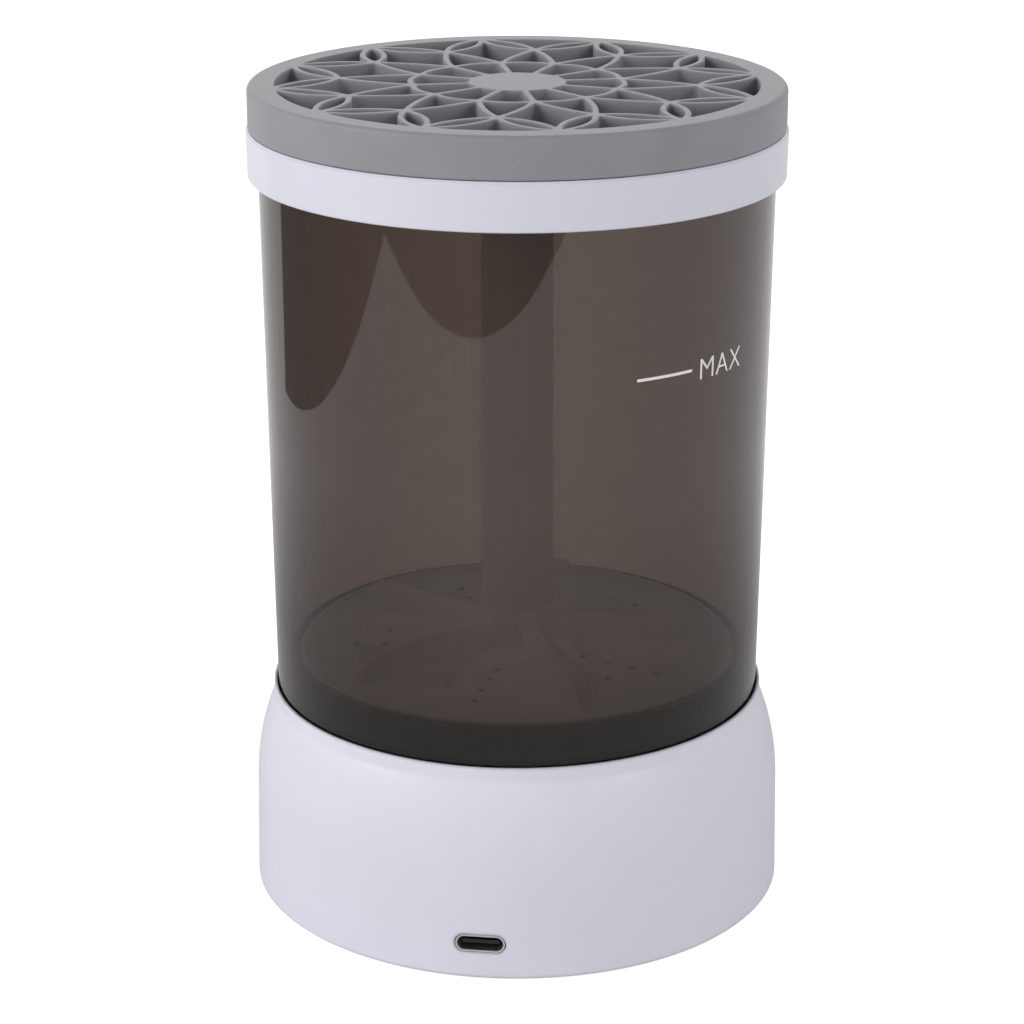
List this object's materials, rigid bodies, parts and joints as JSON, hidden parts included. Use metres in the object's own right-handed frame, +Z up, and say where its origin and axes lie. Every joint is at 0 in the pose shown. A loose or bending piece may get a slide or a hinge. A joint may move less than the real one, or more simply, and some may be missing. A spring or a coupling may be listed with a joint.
{
  "type": "electric makeup brush cleaner",
  "caption": "Round white base with a geared motor, smoky lift-off tank with a spinning vaned wash plate on a tall sleeve, lid ring and a pierced grey silicone brush holder.",
  "frame": {"origin": "on the table surface, under the middle of the round base", "axes": "+Z up along the axis of the tank and sleeve, -Y towards the charging port, +Y towards the power button"},
  "size_m": [0.1, 0.1, 0.1529],
  "materials": {
    "white_shell": "glossy moulded white",
    "cover_white": "satin moulded white",
    "foot_rubber": "matte grey rubber",
    "screw_steel": "zinc plated",
    "plate_plastic": "satin natural plastic",
    "motor_steel": "drawn plated steel",
    "bush_bronze": "sintered bronze",
    "seal_rubber": "black rubber",
    "cell_wrap": "shrink wrap",
    "board_laminate": "solder resist",
    "socket_steel": "drawn steel",
    "black_plastic": "black moulded plastic",
    "lens_clear": "frosted light guide",
    "button_white": "glossy moulded white",
    "gear_plastic": "natural acetal",
    "shaft_steel": "ground stainless",
    "tank_smoke": "clear smoke tint, polished",
    "bush_plastic": "natural acetal",
    "wash_white": "satin moulded white",
    "lid_white": "glossy moulded white",
    "gasket_silicone": "clear silicone",
    "holder_silicone": "matte grey silicone"
  },
  "bodies": {
    "base": {"base_housing": "white_shell", "bottom_cover": "cover_white", "cover_screws": "screw_steel", "rubber_feet": "foot_rubber", "motor_plate": "plate_plastic", "plate_screws": "screw_steel", "motor_can": "motor_steel", "motor_screws": "screw_steel", "output_bush_lower": "bush_bronze", "output_bush_upper": "bush_bronze", "deck_seal": "seal_rubber", "battery_cell": "cell_wrap", "main_board": "board_laminate", "board_screws": "screw_steel", "usb_socket_shell": "socket_steel", "usb_socket_tongue": "black_plastic", "switch_board": "board_laminate", "tact_switch": "black_plastic", "charge_lens": "lens_clear"},
    "button": {"power_button": "button_white"},
    "motor_rotor": {"motor_shaft": "shaft_steel", "motor_pinion": "gear_plastic"},
    "output_drive": {"output_shaft": "shaft_steel", "output_gear": "gear_plastic", "drive_dog": "black_plastic"},
    "tank": {"tank": "tank_smoke", "tank_foot": "black_plastic", "shaft_bush_lower": "bush_plastic", "shaft_bush_upper": "bush_plastic"},
    "spinner": {"driven_dog": "black_plastic", "tank_shaft": "shaft_steel", "shaft_clip": "screw_steel", "drive_sleeve": "wash_white", "wash_plate": "wash_white"},
    "lid": {"lid_ring": "lid_white", "lid_gasket": "gasket_silicone"},
    "holder": {"brush_holder": "holder_silicone"}
  },
  "joints": [
    {"name": "button_press", "type": "slide", "parent": "base", "child": "button", "axis": [0, -1, 0], "range_m": [0, 0.0008], "stiffness_N_per_m": 2000},
    {"name": "output_spin", "type": "hinge", "parent": "base", "child": "output_drive", "pos_m": [0, 0, 0.0266], "axis": [0, 0, 1], "continuous": true},
    {"name": "motor_spin", "type": "hinge", "parent": "base", "child": "motor_rotor", "pos_m": [0, -0.019, 0.0266], "axis": [0, 0, 1], "continuous": true},
    {"name": "tank_lift", "type": "slide", "parent": "base", "child": "tank", "axis": [0, 0, 1], "range_m": [0, 0.04]},
    {"name": "plate_spin", "type": "hinge", "parent": "tank", "child": "spinner", "pos_m": [0, 0, 0.05], "axis": [0, 0, 1], "continuous": true},
    {"name": "lid_lift", "type": "slide", "parent": "tank", "child": "lid", "axis": [0, 0, 1], "range_m": [0, 0.03]},
    {"name": "holder_lift", "type": "slide", "parent": "lid", "child": "holder", "axis": [0, 0, 1], "range_m": [0, 0.025]}
  ],
  "couplings": [
    {"joint": "motor_spin", "follows": "output_spin", "ratio": -3.75},
    {"joint": "plate_spin", "follows": "output_spin", "ratio": 1}
  ]
}
